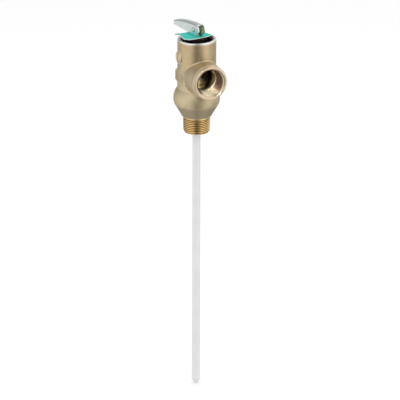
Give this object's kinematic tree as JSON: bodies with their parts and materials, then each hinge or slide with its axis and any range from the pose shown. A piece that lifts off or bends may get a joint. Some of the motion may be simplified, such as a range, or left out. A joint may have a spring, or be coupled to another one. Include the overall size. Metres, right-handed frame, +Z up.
{
  "type": "temperature and pressure relief valve",
  "caption": "Angle relief valve for a water heater: cast bronze body, male inlet below, female outlet at the side, sprung disc under a pressed cap, cam test lever, wax thermostat probe.",
  "frame": {"origin": "on the valve's axis, at the plane where the tank's port ends when the inlet is screwed in by hand, 8.6 mm above the inlet's end face", "axes": "+Z up the valve's axis, from the inlet to the lever; -Y out of the outlet; +X to the right of someone who looks along +Y, into the outlet"},
  "size_m": [0.0458, 0.0722, 0.3714],
  "materials": {
    "cast_bronze": "satin cast, machined at the threads",
    "black_steel": "dark phosphate, satin",
    "bright_ring": "bright",
    "spring_steel": "drawn stainless wire",
    "yellow_brass": "turned",
    "seat_rubber": "moulded",
    "stainless": "turned",
    "lever_steel": "zinc plated, satin",
    "tag_teal": "dyed aluminium, bare at its cut edges",
    "probe_white": "dipped, matt",
    "copper_tube": "drawn copper",
    "wax": "waxy"
  },
  "bodies": {
    "body": {"valve_body": "cast_bronze", "spring_cap": "black_steel", "cap_ring": "bright_ring", "main_spring": "spring_steel", "spring_washer": "stainless", "element_frame": "yellow_brass", "frame_clip": "spring_steel", "element_gland": "yellow_brass", "wax_plug": "seat_rubber", "wax_fill": "wax", "thermostat_tube": "copper_tube", "probe_coating": "probe_white"},
    "tag": {"name_tag": "tag_teal"},
    "stem": {"stem": "yellow_brass", "stem_clip": "stainless", "lever_pin": "stainless"},
    "lever": {"test_lever": "lever_steel"},
    "disc": {"disc_holder": "yellow_brass", "spring_seat": "yellow_brass", "seat_disc": "seat_rubber", "disc_washer": "stainless", "disc_screw": "stainless"},
    "push_rod": {"push_rod": "stainless"}
  },
  "joints": [
    {"name": "lever_swivel", "type": "hinge", "parent": "body", "child": "tag", "pos_m": [0, 0, 0.0897], "axis": [0, 0, 1], "continuous": true},
    {"name": "stem_lift", "type": "slide", "parent": "tag", "child": "stem", "axis": [0, 0, 1], "range_m": [0, 0.0034], "stiffness_N_per_m": 20, "springref_m": -0.003, "deforming": ["main_spring"]},
    {"name": "lever_pivot", "type": "hinge", "parent": "stem", "child": "lever", "pos_m": [0, 0, 0.09625], "axis": [0.9914, 0.1305, 0], "range_deg": [0, 75]},
    {"name": "disc_lift", "type": "slide", "parent": "stem", "child": "disc", "axis": [0, 0, 1], "range_m": [0, 0.0018], "stiffness_N_per_m": 300, "springref_m": -0.003, "deforming": ["main_spring"]},
    {"name": "piston_rise", "type": "slide", "parent": "body", "child": "push_rod", "axis": [0, 0, 1], "range_m": [0, 0.0018]}
  ],
  "couplings": [
    {"joint": "lever_pivot", "follows": "stem_lift", "rad_per_m": 384.62},
    {"joint": "piston_rise", "follows": "disc_lift", "ratio": 1}
  ]
}
